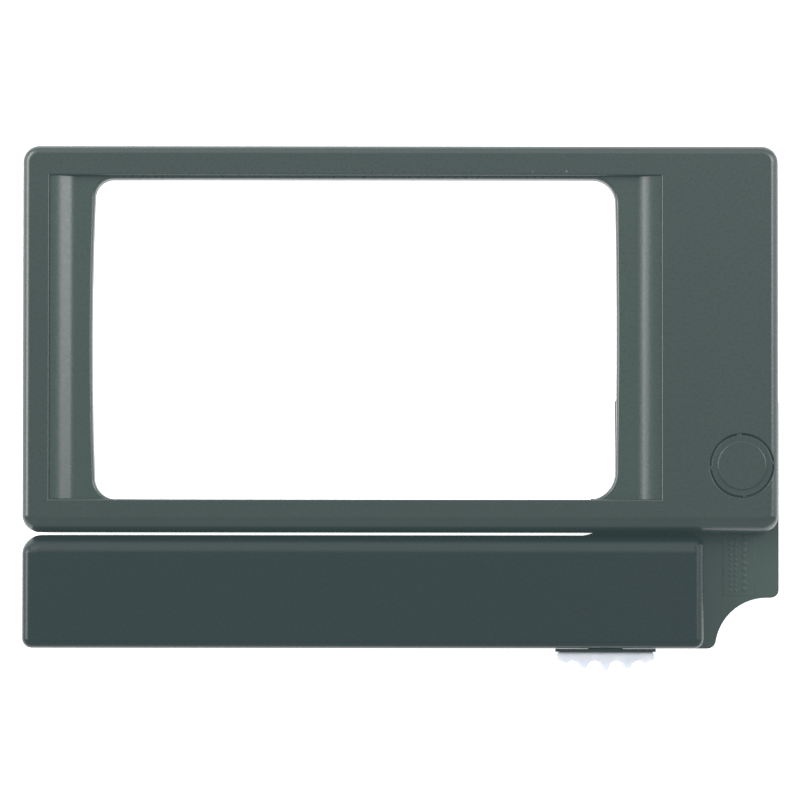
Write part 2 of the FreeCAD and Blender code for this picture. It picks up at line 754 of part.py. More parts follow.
def make_handle_base():
    """The flat lower plate: the handle's floor and, in one piece, the plate under the frame."""
    body = body_named("handle_base")
    floor = flat_sketch(body, "handle_outline")
    add_rectangle(floor, "places.frame_left", "places.handle_lower",
                  "places.notch_x", "places.handle_upper")
    extrude(body, "Pad", "handle_floor", floor, "dims.plate_thickness")
    plate = flat_sketch(body, "plate_outline")
    add_rectangle(plate, "places.plate_left", "places.plate_lower",
                  "places.plate_right", "places.plate_upper")
    extrude(body, "Pad", "pivot_plate", plate, "dims.plate_thickness")
    drum(body, "finger_notch", "places.notch_x", "places.notch_y", "0", "dims.notch_radius",
         "dims.plate_thickness", cut=True)
    notch_tip = "places.notch_x - sqrt(dims.notch_radius^2 - dims.notch_drop^2)"
    rounds = [
        ("end_round", "dims.handle_corner", [("places.frame_left", "places.handle_lower")]),
        ("end_inner_round", "dims.handle_inner_corner", [("places.frame_left",
                                                          "places.handle_upper")]),
        ("notch_tip", "dims.notch_tip_round", [(notch_tip, "places.handle_lower")]),
        ("plate_round", "dims.plate_corner", [("places.plate_right", "places.plate_lower"),
                                              ("places.plate_right", "places.plate_upper"),
                                              ("places.plate_left", "places.plate_upper")]),
        ("inner_round", "dims.plate_inner_round", [("places.plate_left", "places.handle_upper")]),
    ]
    for name, radius, corners in rounds:
        round_edges(body, name, upright_at(*corners), radius)
    field_right = "places.plate_right - dims.field_inset"
    block(body, "mark_field", field_right + " - dims.field_width",
          "places.plate_lower + dims.field_end_inset", "dims.plate_thickness",
          "dims.field_width", "dims.field_length", "dims.field_rise")
    pips = flat_sketch(body, "pip_outlines", "dims.plate_thickness + dims.field_rise")
    for inset, radius, pitch, count in PIP_COLUMNS:
        across = "%s - (%s)" % (field_right, inset)
        for row in range(1, count + 1):
            along = "places.plate_lower + dims.field_end_inset + %d * %s" % (row, pitch)
            add_circle(pips, across, along, radius)
    extrude(body, "Pad", "pips", pips, "dims.pip_rise")
    drum(body, "post_hole", *PIVOT, "0", "dims.post_radius", "dims.plate_thickness", cut=True)
    drum(body, "post_recess", *PIVOT, "0", "dims.post_flange_radius", "dims.post_flange_thickness",
         cut=True)
    add_screw_holes(body, HANDLE_SCREWS, "0", "dims.plate_thickness")
    block(body, "spring_rib", "places.pad_x - dims.carrier_length / 2",
          "places.carrier_upper + dims.slide_leaf_room", "dims.plate_thickness",
          "dims.carrier_length", "dims.spring_rib", "dims.carrier_height")


def make_handle_cover():
    """The handle's upper shell, with the thumb slide's slot and the bolt's exit."""
    body = body_named("handle_cover")
    rounded_block(body, "shell", "places.frame_left", "places.handle_lower",
                  "dims.plate_thickness", "places.handle_end", "places.handle_upper",
                  "places.frame_top - dims.plate_thickness", HANDLE_CORNERS)
    round_edges(body, "face_edge",
                outer_at_height("places.frame_top", body, "dims.handle_inner_corner"),
                "dims.edge_round")
    cavity = flat_sketch(body, "cavity_outline", "dims.plate_thickness")
    add_rectangle(cavity, "places.frame_left + dims.handle_wall",
                  "places.handle_lower + dims.handle_wall",
                  "places.handle_end - dims.handle_wall", "places.handle_upper - dims.handle_wall")
    room = "places.face_under - dims.plate_thickness"
    extrude(body, "Pocket", "cavity", cavity, room, backwards=True)
    for index, (across, along) in enumerate(HANDLE_SCREWS):
        drum(body, "screw_boss_%d" % index, across, along, "dims.plate_thickness",
             "dims.boss_radius", room)
        drum(body, "screw_hole_%d" % index, across, along, "dims.plate_thickness",
             "dims.screw_radius", "dims.screw_length + dims.hole_spare - dims.plate_thickness",
             cut=True)
    block(body, "neck_slot", "places.pad_x - dims.neck_length / 2 - dims.fit_play",
          "places.handle_lower - dims.fit_play", "dims.plate_thickness",
          "dims.neck_length + dims.slide_travel + 2 * dims.fit_play",
          "dims.handle_wall + 2 * dims.fit_play",
          "dims.bolt_centre + dims.neck_height / 2 + dims.fit_play - dims.plate_thickness", cut=True)
    block(body, "bolt_exit", "places.handle_end - dims.handle_wall - dims.fit_play",
          "places.handle_middle - dims.bolt_width / 2 - dims.slide_play",
          "dims.bolt_centre - dims.bolt_height / 2 - dims.slide_play",
          "dims.handle_wall + 2 * dims.fit_play", "dims.bolt_width + 2 * dims.slide_play",
          "dims.bolt_height + 2 * dims.slide_play", cut=True)


def make_bolt_guide():
    """The block behind the handle's end wall that the bolt slides through."""
    body = body_named("bolt_guide")
    left = "places.handle_end - dims.handle_wall - dims.guide_length"
    block(body, "guide", left, "places.handle_middle - dims.guide_width / 2",
          "dims.plate_thickness", "dims.guide_length", "dims.guide_width",
          "dims.bolt_centre + dims.bolt_height / 2 + dims.guide_roof - dims.plate_thickness")
    block(body, "guide_hole", left, "places.handle_middle - dims.bolt_width / 2 - dims.slide_play",
          "dims.bolt_centre - dims.bolt_height / 2 - dims.slide_play", "dims.guide_length",
          "dims.bolt_width + 2 * dims.slide_play", "dims.bolt_height + 2 * dims.slide_play", cut=True)


def make_slide_spring():
    """A bowed leaf that rubs on the carrier, so that the slide stays where it is put."""
    body = body_named("slide_spring")
    profile = flat_sketch(body, "leaf_profile", "dims.bolt_centre - dims.slide_leaf_height / 2")
    reach = "(dims.carrier_length / 2 - dims.slide_leaf_inset)"
    flat = "dims.slide_leaf_flat / 2"
    far = "places.carrier_upper + dims.slide_leaf_room - dims.contact_gap"
    near = "places.carrier_upper + dims.contact_gap + dims.slide_leaf_thickness"
    spots = [("- " + reach, far), ("- " + flat, near), ("+ " + flat, near), ("+ " + reach, far)]
    upper = [("places.pad_x " + shift, level) for shift, level in spots]
    lower = [(across, level + " - dims.slide_leaf_thickness") for across, level in upper]
    add_outline(profile, lower + upper[::-1])
    extrude(body, "Pad", "leaf", profile, "dims.slide_leaf_height")


# ---------------------------------------------------------------- thumb slide


def make_slide_carrier():
    """The slide's dark body: a block inside, a neck through the slot and a lip outside."""
    body = body_named("slide_carrier")
    left = "places.pad_x - dims.carrier_length / 2"
    block(body, "carrier", left, "places.carrier_lower", "places.carrier_floor",
          "dims.carrier_length", "places.carrier_upper - places.carrier_lower",
          "dims.carrier_height")
    neck_left = "places.pad_x - dims.neck_length / 2"
    neck_floor = "dims.bolt_centre - dims.neck_height / 2"
    block(body, "neck", neck_left, "places.lip_outer", neck_floor, "dims.neck_length",
          "places.carrier_lower - places.lip_outer + dims.neck_root", "dims.neck_height")
    block(body, "lip", "places.pad_x - dims.lip_length / 2", "places.lip_outer",
          "dims.bolt_centre - dims.lip_height / 2", "dims.lip_length", "dims.lip_thickness",
          "dims.lip_height")
    block(body, "bolt_groove", "places.bolt_tip - dims.bolt_length",
          "places.handle_middle - dims.bolt_width / 2", "dims.bolt_centre - dims.bolt_height / 2",
          "dims.bolt_length", "dims.bolt_width", "dims.carrier_height", cut=True)
    drum(body, "pin_hole", "places.pad_x", "places.handle_middle", "places.carrier_floor",
         "dims.bolt_pin_radius", "dims.carrier_height", cut=True)
    block(body, "pad_mortise", "places.pad_x - dims.pad_tenon_length / 2", "places.lip_outer",
          "dims.bolt_centre - dims.pad_tenon_height / 2", "dims.pad_tenon_length",
          "dims.pad_tenon_depth", "dims.pad_tenon_height", cut=True)


def make_thumb_pad():
    """The pale thumb piece: an arched pad with scallops cut on one straight line."""
    body = body_named("thumb_pad")
    floor = "dims.bolt_centre - dims.pad_height / 2"
    outline = flat_sketch(body, "pad_outline", floor)
    centre_y = "places.handle_lower - dims.pad_reach + dims.pad_envelope_radius"
    half = "dims.pad_length / 2"
    shoulder = "%s - sqrt(dims.pad_envelope_radius^2 - (%s)^2)" % (centre_y, half)
    left, right = "places.pad_x - " + half, "places.pad_x + " + half
    arc = add_arc(outline, ("places.pad_x", centre_y), "dims.pad_envelope_radius",
                  (left, shoulder), (right, shoulder))
    sides = [((right, shoulder), (right, "places.lip_outer")),
             ((right, "places.lip_outer"), (left, "places.lip_outer")),
             ((left, "places.lip_outer"), (left, shoulder))]
    lines = [add_line(outline, *side) for side in sides]
    join(outline, arc, 2, lines[0], 1)
    join(outline, lines[0], 2, lines[1], 1)
    join(outline, lines[1], 2, lines[2], 1)
    join(outline, lines[2], 2, arc, 1)
    for line in (lines[0], lines[2]):
        outline.addConstraint(Sketcher.Constraint("Vertical", line))
    pin_point(outline, lines[1], 1, right, "places.lip_outer")
    pin_point(outline, lines[1], 2, left, "places.lip_outer")
    extrude(body, "Pad", "pad", outline, "dims.pad_height")
    for index in range(SCALLOPS):
        step = index - (SCALLOPS - 1) / 2
        drum(body, "scallop_%d" % index, "places.pad_x + (%g) * dims.scallop_pitch" % step,
             "places.handle_lower - dims.scallop_line - dims.scallop_radius", floor,
             "dims.scallop_radius", "dims.pad_height", cut=True)
    block(body, "tenon", "places.pad_x - dims.pad_tenon_length / 2", "places.lip_outer",
          "dims.bolt_centre - dims.pad_tenon_height / 2", "dims.pad_tenon_length",
          "dims.pad_tenon_depth", "dims.pad_tenon_height")


def make_latch_bolt():
    """The flat bolt with a bevelled nose, pinned in the carrier."""
    body = body_named("latch_bolt")
    lower = "places.handle_middle - dims.bolt_width / 2"
    block(body, "bar", "places.bolt_tip - dims.bolt_length", lower,
          "dims.bolt_centre - dims.bolt_height / 2", "dims.bolt_length", "dims.bolt_width",
          "dims.bolt_height")
    nose = upright_at(("places.bolt_tip", lower), ("places.bolt_tip", lower + " + dims.bolt_width"))
    bevel_edges(body, "nose_bevel", nose, "dims.bolt_bevel")
    drum(body, "bolt_pin_hole", "places.pad_x", "places.handle_middle",
         "dims.bolt_centre - dims.bolt_height / 2", "dims.bolt_pin_radius", "dims.bolt_height",
         cut=True)


def make_bolt_pin():
    pin = upright_cylinder("bolt_pin", "places.pad_x", "places.handle_middle",
                           "places.carrier_floor", "dims.bolt_pin_radius",
                           "dims.bolt_centre + dims.bolt_height / 2 - places.carrier_floor")
    EVERY_NODE.append(pin)


def make_latch_strike():
    """The socket behind the frame's end wall that the bolt enters."""
    body = body_named("latch_strike")
    left = "places.frame_right - dims.wall - dims.strike_length"
    block(body, "strike", left, "places.frame_middle - dims.strike_width / 2", "places.back_top",
          "dims.strike_length", "dims.strike_width", "places.face_under - places.back_top")
    block(body, "socket", left, "places.frame_middle - dims.bolt_width / 2 - dims.strike_play",
          "dims.bolt_centre - dims.bolt_height / 2 - dims.strike_play", "dims.strike_length",
          "dims.bolt_width + 2 * dims.strike_play", "dims.bolt_height + 2 * dims.strike_play",
          cut=True)


# ---------------------------------------------------------------- pivot


def turned_body(label):
    """A body modelled about its own axis and placed on the pivot."""
    body = body_named(label)
    set_places(body, {"Placement.Base.x": PIVOT[0], "Placement.Base.y": PIVOT[1]})
    return body


def make_ring(label, floor, inner, outer, height):
    body = turned_body(label)
    drum(body, label + "_disc", "0", "0", floor, outer, height)
    drum(body, label + "_bore", "0", "0", floor, inner, height, cut=True)


def make_pivot():
    """The post, its bush and washers, the screw that holds them and the cap over it."""
    post = turned_body("pivot_post")
    drum(post, "post_flange", "0", "0", "0", "dims.post_flange_radius", "dims.post_flange_thickness")
    drum(post, "post_shank", "0", "0", "0", "dims.post_radius", "places.post_top")
    drum(post, "post_thread", "0", "0", "places.post_top - dims.pivot_thread_length",
         "dims.pivot_thread_radius", "dims.pivot_thread_length", cut=True)

    screw = turned_body("pivot_screw")
    drum(screw, "pivot_head", "0", "0", "places.post_top", "dims.pivot_head_radius",
         "dims.pivot_head_height")
    drum(screw, "pivot_thread", "0", "0", "places.post_top - dims.pivot_thread_length",
         "dims.pivot_thread_radius", "dims.pivot_thread_length")
    block(screw, "pivot_slot", "-dims.pivot_head_radius", "-dims.screw_slot_width",
          "places.pivot_head_top - dims.screw_slot_depth", "2 * dims.pivot_head_radius",
          "2 * dims.screw_slot_width", "dims.screw_slot_depth", cut=True)

    running = "dims.post_radius + dims.running_play"
    make_ring("thrust_washer", "dims.plate_thickness", running, "dims.washer_radius",
              "dims.lift_gap")
    make_ring("pivot_bush", "places.frame_floor", running, "dims.bush_radius", "dims.bush_height")
    make_ring("spring_washer", "places.bush_top", running, "dims.bush_radius",
              "dims.spring_washer_thickness")

    cap = turned_body("pivot_cap")
    cap.setExpression("Placement.Rotation.Angle", "dims.cap_rib_angle * 1 deg")
    disc = "dims.cap_thickness - dims.cap_sink"
    drum(cap, "cap_disc", "0", "0", "places.cap_ledge", "dims.cap_radius", disc)
    drum(cap, "cap_button", "0", "0", "places.cap_ledge", "dims.cap_button_radius",
         "dims.cap_thickness + dims.cap_button_rise")
    reach = "(dims.cap_bore_radius - dims.cap_play)"
    block(cap, "ribs_across", "-" + reach, "-dims.cap_rib_width / 2", "places.cap_ledge",
          "2 * " + reach, "dims.cap_rib_width", disc)
    block(cap, "ribs_along", "-dims.cap_rib_width / 2", "-" + reach, "places.cap_ledge",
          "dims.cap_rib_width", "2 * " + reach, disc)


# ---------------------------------------------------------------- build, check, write

make_frame_cover()
make_film_gate()
make_film_springs()
make_frame_back()
make_screws("frame_screws", FRAME_SCREWS, "places.frame_floor")
make_frame_feet()
make_latch_strike()
make_handle_base()
make_handle_cover()
make_screws("handle_screws", HANDLE_SCREWS, "0")
make_bolt_guide()
make_slide_spring()
make_slide_carrier()
make_thumb_pad()
make_latch_bolt()
make_bolt_pin()
make_pivot()
doc.recompute()

for item in doc.Objects:
    if "Invalid" in item.State or "Error" in item.State:
        raise RuntimeError("%s did not build: %s" % (item.Name, item.State))
for node in EVERY_NODE:
    if node.Shape.isNull() or not node.Shape.isValid() or not node.Shape.Solids:
        raise RuntimeError("%s has no valid solid" % node.Label)

os.makedirs("parts", exist_ok=True)
for node in EVERY_NODE:
    node.Shape.exportStep("parts/%s.step" % node.Label)
    print("%-20s %2d solid(s) %9.1f mm3" % (node.Label, len(node.Shape.Solids), node.Shape.Volume))
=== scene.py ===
import json
import math

import bmesh
import bpy
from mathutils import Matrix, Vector

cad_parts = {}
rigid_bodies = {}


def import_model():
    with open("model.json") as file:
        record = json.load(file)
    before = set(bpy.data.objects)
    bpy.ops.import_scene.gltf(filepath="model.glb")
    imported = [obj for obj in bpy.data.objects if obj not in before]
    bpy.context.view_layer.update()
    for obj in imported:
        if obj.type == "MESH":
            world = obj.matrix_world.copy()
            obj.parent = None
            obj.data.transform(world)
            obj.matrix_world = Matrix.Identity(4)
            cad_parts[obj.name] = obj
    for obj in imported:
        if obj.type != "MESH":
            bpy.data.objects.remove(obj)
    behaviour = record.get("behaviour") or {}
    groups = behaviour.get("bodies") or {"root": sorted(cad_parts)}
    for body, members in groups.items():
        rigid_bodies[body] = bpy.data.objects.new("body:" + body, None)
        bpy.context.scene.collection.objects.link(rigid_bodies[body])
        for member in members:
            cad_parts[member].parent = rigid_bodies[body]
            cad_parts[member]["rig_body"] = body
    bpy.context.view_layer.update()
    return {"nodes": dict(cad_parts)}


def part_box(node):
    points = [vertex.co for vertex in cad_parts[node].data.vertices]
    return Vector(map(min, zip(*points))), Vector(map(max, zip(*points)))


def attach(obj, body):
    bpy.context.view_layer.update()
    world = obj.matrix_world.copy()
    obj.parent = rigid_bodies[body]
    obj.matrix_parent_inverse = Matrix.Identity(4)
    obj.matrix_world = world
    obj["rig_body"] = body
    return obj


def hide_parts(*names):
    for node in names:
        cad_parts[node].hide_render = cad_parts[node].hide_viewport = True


# Looks of a hand-held swing-out negative carrier for roll film.  Lengths are in metres and
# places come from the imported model: +X along the handle towards the pivot, +Y from the
# handle towards the frame, +Z up out of the frame's face.

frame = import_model()

MM = 0.001
BODY_OF = {node: obj["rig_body"] for node, obj in frame["nodes"].items()}

# ---------------------------------------------------------------- camera, floor and light


def add_object(name, data):
    obj = bpy.data.objects.new(name, data)
    bpy.context.scene.collection.objects.link(obj)
    return obj


def make_camera():
    """Almost straight above the carrier, standing a little towards the handle."""
    data = bpy.data.cameras.new("camera")
    data.sensor_width = 36
    data.lens = 331.8
    data.clip_start = 0.05
    data.clip_end = 20
    camera = add_object("camera", data)
    camera.location = (0.00056, -0.04088, 1.300)
    camera.rotation_euler = (0.0327, 0.0006, 0.0011)
    bpy.context.scene.camera = camera


def make_floor():
    """A wide white table that glows a little, like a light table."""
    mesh = bpy.data.meshes.new("floor")
    shape = bmesh.new()
    bmesh.ops.create_grid(shape, x_segments=1, y_segments=1, size=3)
    shape.to_mesh(mesh)
    shape.free()
    floor = add_object("floor", mesh)
    floor.location.z = -0.05 * MM
    paint = Paint("floor_white")
    paint.set("Base Color", (0.9, 0.9, 0.9, 1))
    paint.set("Roughness", 0.9)
    paint.set("Emission Color", (1, 1, 1, 1))
    paint.set("Emission Strength", 0.9)
    mesh.materials.append(paint.material)


def soft_box(name, place, size, power):
    """A rectangular studio light that looks at the carrier."""
    data = bpy.data.lights.new(name, "AREA")
    data.shape = "RECTANGLE"
    data.size, data.size_y = size
    data.energy = power
    light = add_object(name, data)
    light.location = place
    light.rotation_euler = (-Vector(place)).to_track_quat("-Z", "Y").to_euler()
    light.visible_camera = False


def make_lights():
    soft_box("upper_box", (0.03, 0.38, 0.44), (1.20, 0.62), 2.6)
    soft_box("upper_wall", (0.0, 0.90, 0.07), (1.40, 0.25), 1.8)
    soft_box("lower_wall", (0.0, -0.75, 0.35), (1.60, 1.00), 1.3)
    soft_box("left_box", (-0.62, 0.26, 0.56), (0.80, 0.46), 9.2)
    soft_box("left_wall", (-0.85, 0.20, 0.18), (0.50, 0.36), 0.9)
    soft_box("right_box", (0.51, 0.20, 0.66), (0.32, 0.50), 3.5)
    soft_box("right_wall", (0.75, 0.20, 0.25), (0.50, 0.44), 1.5)
    world = bpy.data.worlds.new("studio")
    world.use_nodes = True
    background = world.node_tree.nodes["Background"]
    background.inputs["Color"].default_value = (0.92, 0.96, 1.0, 1)
    background.inputs["Strength"].default_value = 0.42
    bpy.context.scene.world = world
    bpy.context.scene.view_settings.view_transform = "Standard"


# ---------------------------------------------------------------- materials


class Paint:
    """A procedural material and short ways to add and join its nodes."""

    def __init__(self, name):
        self.material = bpy.data.materials.new(name)
        self.material.use_nodes = True
        self.nodes = self.material.node_tree.nodes
        self.links = self.material.node_tree.links
        self.shader = self.nodes["Principled BSDF"]
        self.place = self.nodes.new("ShaderNodeTexCoord").outputs["Object"]

    def set(self, name, value):
        self.shader.inputs[name].default_value = value

    def feed(self, name, output):
        self.links.new(output, self.shader.inputs[name])

    def noise(self, cell, detail=2.0, stretch=(1, 1, 1)):
        """Noise whose lumps are about one cell wide."""
        spread = self.nodes.new("ShaderNodeMapping")
        spread.inputs["Scale"].default_value = stretch
        self.links.new(self.place, spread.inputs["Vector"])
        noise = self.nodes.new("ShaderNodeTexNoise")
        noise.inputs["Scale"].default_value = 1 / cell
        noise.inputs["Detail"].default_value = detail
        self.links.new(spread.outputs["Vector"], noise.inputs["Vector"])
        return noise.outputs["Fac"]

    def upness(self):
        """1 where the surface faces up, 0 where it stands upright."""
        parts = self.nodes.new("ShaderNodeSeparateXYZ")
        faces = self.nodes.new("ShaderNodeNewGeometry")
        self.links.new(faces.outputs["Normal"], parts.inputs["Vector"])
        return parts.outputs["Z"]

    def ramp(self, value, low, high, from_value=0.0, to_value=1.0):
        """The value mapped so that low..high becomes from_value..to_value, clamped."""
        ramp = self.nodes.new("ShaderNodeMapRange")
        ramp.inputs["From Min"].default_value = low
        ramp.inputs["From Max"].default_value = high
        ramp.inputs["To Min"].default_value = from_value
        ramp.inputs["To Max"].default_value = to_value
        self.links.new(value, ramp.inputs["Value"])
        return ramp.outputs["Result"]

    def mix(self, share, first, second):
        """A colour between two colours or colour outputs."""
        mix = self.nodes.new("ShaderNodeMix")
        mix.data_type = "RGBA"
        self.links.new(share, mix.inputs["Factor"])
        for socket, colour in ((mix.inputs[6], first), (mix.inputs[7], second)):
            if isinstance(colour, tuple):
                socket.default_value = (*colour, 1)
            else:
                self.links.new(colour, socket)
        return mix.outputs[2]

    def bump(self, height, strength, distance):
        """Normals that follow the height, which is at most this distance deep."""
        bump = self.nodes.new("ShaderNodeBump")
        bump.inputs["Strength"].default_value = strength
        bump.inputs["Distance"].default_value = distance
        self.links.new(height, bump.inputs["Height"])
        return bump.outputs["Normal"]

    def specks(self, spacing, size, share):
        """Small dots, one in some of the cells of a grid of points."""
        dots = self.nodes.new("ShaderNodeTexVoronoi")
        dots.inputs["Scale"].default_value = 1 / spacing
        self.links.new(self.place, dots.inputs["Vector"])
        near = self.ramp(dots.outputs["Distance"], size / spacing, 0.5 * size / spacing)
        lucky = self.nodes.new("ShaderNodeSeparateColor")
        self.links.new(dots.outputs["Color"], lucky.inputs["Color"])
        limit = 1 - share
        chosen = self.ramp(lucky.outputs["Red"], limit, limit + 0.001)
        both = self.nodes.new("ShaderNodeMath")
        both.operation = "MULTIPLY"
        self.links.new(near, both.inputs[0])
        self.links.new(chosen, both.inputs[1])
        return both.outputs["Value"]


# Painted light: a faint even glow that the plastics give off though they are no lamps, so that
# their shaded sides don't go black.
PAINTED_GLOW = (0.033, 0.053, 0.054)


def tinted(colour, factor):
    """The colour made lighter or darker by the factor."""
    return tuple(channel * factor for channel in colour)


def moulded_plastic(name, colour, roughness, grain, gloss, painted_glow):
    """Spark-eroded moulded plastic: fine pebbled grain, faint clouds, a few pale specks.

    gloss is its specular level where it faces up; upright walls have a tenth of it.
    The last argument is its share of the even painted glow, which keeps shaded sides off
    black."""
    paint = Paint(name)
    cloud = paint.ramp(paint.noise(9 * MM, 3), 0.35, 0.65)
    body = paint.mix(cloud, tinted(colour, 0.95), tinted(colour, 1.05))
    fine = paint.ramp(paint.noise(0.5 * MM, 1), 0.3, 0.7)
    body = paint.mix(fine, body, tinted(colour, 1.06))
    dust_grey = (0.22, 0.25, 0.24)
    body = paint.mix(paint.specks(6 * MM, 0.14 * MM, 0.35), body, dust_grey)
    paint.feed("Base Color", body)
    worn = paint.ramp(paint.noise(0.6 * MM, 2), 0.3, 0.7, roughness - 0.02, roughness + 0.03)
    paint.feed("Roughness", worn)
    paint.feed("Specular IOR Level", paint.ramp(paint.upness(), 0.0, 0.4, 0.1 * gloss, gloss))
    paint.feed("Normal", paint.bump(paint.noise(0.4 * MM, 1), grain, 0.03 * MM))
    # Painted light: an even glow on a plastic that is no lamp, lifting its shaded sides.
    paint.set("Emission Color", (*PAINTED_GLOW, 1))
    paint.set("Emission Strength", painted_glow)
    return paint.material


def thumb_plastic():
    """Milky, slightly translucent plastic with a satin surface."""
    paint = Paint("thumb_plastic")
    cloud = paint.ramp(paint.noise(2.5 * MM, 2), 0.3, 0.7)
    cool_white = (0.44, 0.47, 0.51)
    warm_white = (0.49, 0.51, 0.54)
    paint.feed("Base Color", paint.mix(cloud, cool_white, warm_white))
    paint.set("Roughness", 0.38)
    paint.set("Subsurface Weight", 0.6)
    paint.set("Subsurface Radius", (1.2, 1.2, 1.4))
    paint.set("Subsurface Scale", 1.5 * MM)
    paint.feed("Normal", paint.bump(paint.noise(0.5 * MM, 2), 0.25, 0.02 * MM))
    return paint.material


def brushed_steel(name, colour, roughness):
    """Rolled or turned steel: fine streaks and small dull spots."""
    paint = Paint(name)
    streaks = paint.noise(0.25 * MM, 3, (0.06, 1, 1))
    shine = paint.ramp(streaks, 0.3, 0.7)
    paint.feed("Base Color", paint.mix(shine, tinted(colour, 0.85), colour))
    paint.set("Metallic", 1.0)
    spots = paint.noise(1.2 * MM, 3)
    paint.feed("Roughness", paint.ramp(spots, 0.35, 0.7, roughness, roughness + 0.2))
    paint.feed("Normal", paint.bump(streaks, 0.3, 0.01 * MM))
    return paint.material


def bearing_plastic():
    """Natural acetal: ivory, waxy, with faint turning lines."""
    paint = Paint("bearing_plastic")
    cloud = paint.ramp(paint.noise(1.5 * MM, 2), 0.3, 0.7)
    dark_ivory = (0.66, 0.60, 0.47)
    pale_ivory = (0.74, 0.69, 0.56)
    paint.feed("Base Color", paint.mix(cloud, dark_ivory, pale_ivory))
    paint.set("Roughness", 0.35)
    paint.set("Subsurface Weight", 0.2)
    paint.set("Subsurface Scale", 1 * MM)
    paint.feed("Normal", paint.bump(paint.noise(0.12 * MM, 1, (0.1, 1, 1)), 0.2, 0.01 * MM))
    return paint.material


def foot_rubber():
    """Dark matt rubber with dust in its pores."""
    paint = Paint("foot_rubber")
    pores = paint.noise(0.3 * MM, 3)
    black = (0.018, 0.019, 0.020)
    dusty = (0.045, 0.047, 0.048)
    paint.feed("Base Color", paint.mix(paint.ramp(pores, 0.4, 0.7), black, dusty))
    paint.set("Roughness", 0.8)
    paint.feed("Normal", paint.bump(pores, 0.5, 0.05 * MM))
    return paint.material


# ---------------------------------------------------------------- pieces from CAD nodes

# Edges that turn more than SHARP are rounded; faces that turn less than FLAT are joined.
SHARP = math.radians(28)
FLAT = math.radians(0.15)
# An edge that turns less than this only divides a flat area.
DIVIDING = math.radians(1)
# Two edges carry on one line if the cosine between them is over this.
IN_LINE = 0.85
# The part of the room beside an edge that its rounding may take.
ROOM_SHARE = 0.4


def cad_copy(node):
    """A node's mesh as one joined surface, with each flat area in as few faces as can be."""
    shape = bmesh.new()
    shape.from_mesh(frame["nodes"][node].data)
    same_place = 0.0001 * MM
    bmesh.ops.remove_doubles(shape, verts=shape.verts, dist=same_place)
    bmesh.ops.dissolve_limit(shape, angle_limit=FLAT, verts=shape.verts, edges=shape.edges)
    return shape


def is_sharp(edge):
    """True for an edge that gets rounded."""
    return len(edge.link_faces) == 2 and edge.calc_face_angle() > SHARP


def along(edge):
    """The step from one end of the edge to the other."""
    return edge.verts[1].co - edge.verts[0].co


def runs_on(edge, other):
    """True if the other edge carries on the line of the first one."""
    return abs(along(edge).normalized().dot(along(other).normalized())) > IN_LINE


def is_dividing(edge):
    """True for an edge inside a flat area."""
    return len(edge.link_faces) == 2 and edge.calc_face_angle() < DIVIDING


def room_beside(edge):
    """How far the ends of this edge can move sideways along the edges that meet there."""
    way = along(edge).normalized()
    room = math.inf
    for vertex in edge.verts:
        for other in vertex.link_edges:
            if other is edge:
                continue
            if is_dividing(other):
                room = min(room, along(other).cross(way).length)
            elif not runs_on(edge, other):
                room = min(room, other.calc_length())
    return room


def rounding_widths(shape, width, weigh):
    """The width each sharp edge can take, no wider than its whole run has room for."""
    widths = {edge: min(width * weigh(edge), ROOM_SHARE * room_beside(edge))
              for edge in shape.edges if is_sharp(edge) and weigh(edge) > 0}
    waiting = sorted(widths, key=lambda edge: widths[edge], reverse=True)
    while waiting:
        edge = waiting.pop()
        for vertex in edge.verts:
            for other in vertex.link_edges:
                if widths.get(other, 0) > widths[edge] and runs_on(edge, other):
                    widths[other] = widths[edge]
                    waiting.append(other)
    return widths


def whole_width(edge):
    """The same full width for every edge."""
    return 1.0


def finish_piece(node, shape, width, material, slot, segments=3, weigh=whole_width):
    """Turns the shape into the piece that stands for the node, its sharp edges rounded.

    weigh(edge) gives the share of the full width that an edge gets."""
    layer = shape.edges.layers.float.new("bevel_weight_edge")
    for edge, edge_width in rounding_widths(shape, width, weigh).items():
        edge[layer] = edge_width / width
    mesh = bpy.data.meshes.new(node + "_piece")
    shape.to_mesh(mesh)
    shape.free()
    mesh.materials.append(material)
    for polygon in mesh.polygons:
        polygon.use_smooth = True
    piece = add_object(node + "_piece", mesh)
    rounding = piece.modifiers.new("rounding", "BEVEL")
    rounding.width = width
    rounding.segments = segments
    rounding.limit_method = "WEIGHT"
    rounding.use_clamp_overlap = False
    shading = piece.modifiers.new("shading", "WEIGHTED_NORMAL")
    shading.weight = 90
    shading.keep_sharp = True
    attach(piece, BODY_OF[node])
    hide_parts(node)


def softened(node, width, material, slot, **options):
    """The node's own shape with rounded edges."""
    finish_piece(node, cad_copy(node), width, material, slot, **options)


# The radius of the rounding round the faces of the frame and the handle, as modelled.
EDGE_ROUND = 1.4 * MM


def beside_outline(place, box, corners):
    """How deep inside the rounded outline of the box a place is, and which way it faces there.

    corners gives the radii of the outline's corners, keyed by (x side, y side)."""
    low, high = box
    x_side = -1 if place.x < (low.x + high.x) / 2 else 1
    y_side = -1 if place.y < (low.y + high.y) / 2 else 1
    radius = corners[(x_side, y_side)]
    centre = Vector(((low.x if x_side < 0 else high.x) - x_side * radius,
                     (low.y if y_side < 0 else high.y) - y_side * radius))
    out = Vector(((place.x - centre.x) * x_side, (place.y - centre.y) * y_side))
    if out.x > 0 and out.y > 0:
        return radius - out.length, Vector((out.x * x_side, out.y * y_side)).normalized()
    if out.x > out.y:
        return radius - out.x, Vector((x_side, 0))
    return radius - out.y, Vector((0, y_side))


